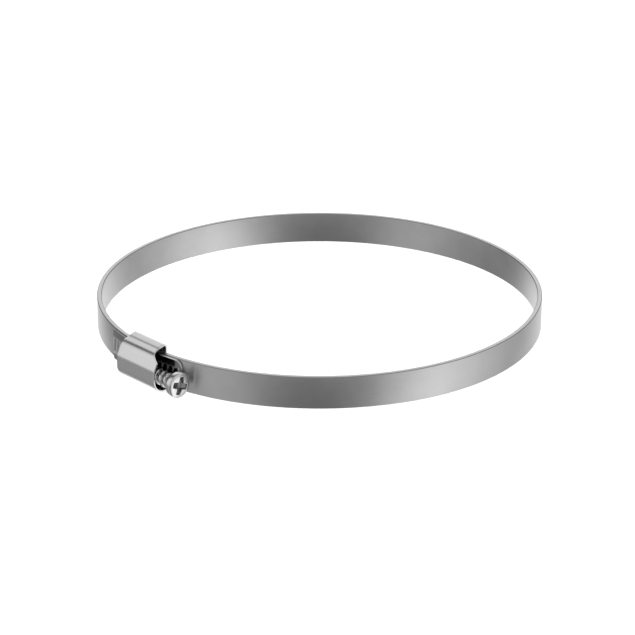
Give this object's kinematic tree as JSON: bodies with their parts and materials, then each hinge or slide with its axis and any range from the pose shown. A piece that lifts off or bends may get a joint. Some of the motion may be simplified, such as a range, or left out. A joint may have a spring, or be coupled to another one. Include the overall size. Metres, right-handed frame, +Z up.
{
  "type": "hose clamp",
  "caption": "Flat metal band bent into a ring, with a threaded strap drawn through a folded sheet housing by a cross-recess worm screw.",
  "frame": {"origin": "under the middle of the whole clamp, level with its lowest face, which is the underside of the housing", "axes": "+Z up along the ring's axis with the clamp lying flat; +X along the screw towards its head; the housing is at -Y"},
  "size_m": [0.13, 0.1358, 0.0121],
  "materials": {
    "band_steel": "rolled stainless strip, satin",
    "strap_steel": "rolled stainless strip with stamped slots",
    "housing_steel": "folded stainless sheet, bright",
    "screw_zinc": "bright plated steel"
  },
  "bodies": {
    "housing_side": {"band_fixed_side": "band_steel", "screw_housing": "housing_steel"},
    "free_side": {"band_free_side": "band_steel"},
    "strap": {"threaded_strap": "strap_steel"},
    "screw": {"worm_screw": "screw_zinc"}
  },
  "joints": [
    {"name": "ring_flex", "type": "hinge", "parent": "housing_side", "child": "free_side", "pos_m": [0.01117, 0.0663, 0.0052], "axis": [0, 0, 1], "range_deg": [-2.04, 2.04]},
    {"name": "strap_follow", "type": "hinge", "parent": "free_side", "child": "strap", "pos_m": [-0.01131, -0.06119, 0.0052], "axis": [0, 0, 1], "range_deg": [-2.02, 2.02]},
    {"name": "screw_turn", "type": "hinge", "parent": "housing_side", "child": "screw", "pos_m": [0, -0.06445, 0.0044], "axis": [-1, 0, 0], "range_deg": [-829, 829]}
  ],
  "couplings": [
    {"joint": "strap_follow", "follows": "ring_flex", "ratio": 0.98772},
    {"joint": "screw_turn", "follows": "ring_flex", "ratio": 406.68}
  ]
}
